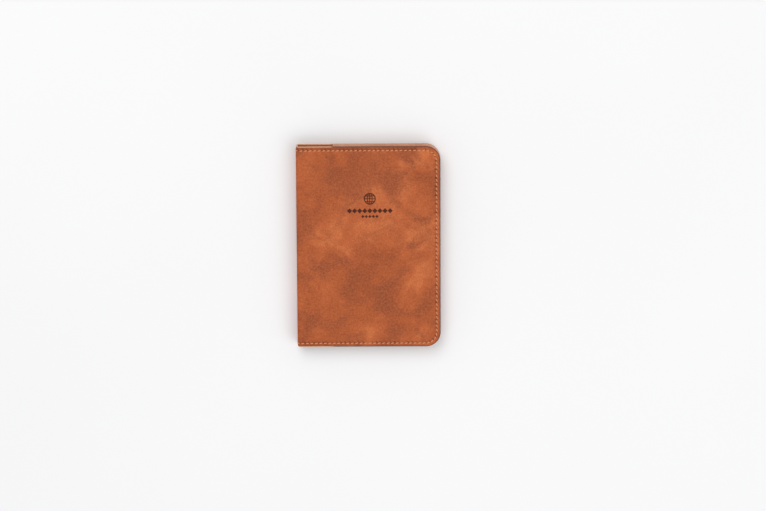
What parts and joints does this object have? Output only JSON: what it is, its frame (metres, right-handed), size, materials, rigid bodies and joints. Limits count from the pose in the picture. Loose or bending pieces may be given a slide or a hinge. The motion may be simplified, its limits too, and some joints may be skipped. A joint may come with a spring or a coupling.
{
  "type": "passport holder",
  "caption": "Folding leather passport holder with a sewn sleeve in each leaf, card pockets and a stitched edge.",
  "frame": {"origin": "centre of the back face, on the surface that the closed holder lies on", "axes": "+X from the spine to the free edge, +Y to the top edge, +Z out of the front cover"},
  "size_m": [0.098, 0.139, 0.0125],
  "materials": {
    "cover_leather": "pull-up leather, low sheen",
    "lining_leather": "smooth, low sheen",
    "thread": "waxed thread"
  },
  "bodies": {
    "back_leaf": {"back_cover": "cover_leather", "back_sleeve": "lining_leather", "back_sleeve_hem": "lining_leather", "back_outer_stitches": "thread", "back_inner_stitches": "thread"},
    "spine": {"spine_cover": "cover_leather", "spine_stitches": "thread"},
    "front_leaf": {"front_cover": "cover_leather", "front_sleeve": "lining_leather", "front_sleeve_hem": "lining_leather", "front_outer_stitches": "thread", "front_inner_stitches": "thread", "card_pocket_tall": "lining_leather", "card_pocket_tall_hem": "lining_leather", "card_pocket_tall_stitches": "thread", "card_pocket_short": "lining_leather", "card_pocket_short_hem": "lining_leather", "card_pocket_short_stitches": "thread"}
  },
  "joints": [
    {"name": "back_fold", "type": "hinge", "parent": "back_leaf", "child": "spine", "pos_m": [-0.04795, 0, 0.00105], "axis": [0, -1, 0], "range_deg": [0, 90]},
    {"name": "front_fold", "type": "hinge", "parent": "spine", "child": "front_leaf", "pos_m": [-0.04795, 0, 0.01145], "axis": [0, -1, 0], "range_deg": [0, 90]}
  ],
  "couplings": [
    {"joint": "front_fold", "follows": "back_fold", "ratio": 1}
  ]
}
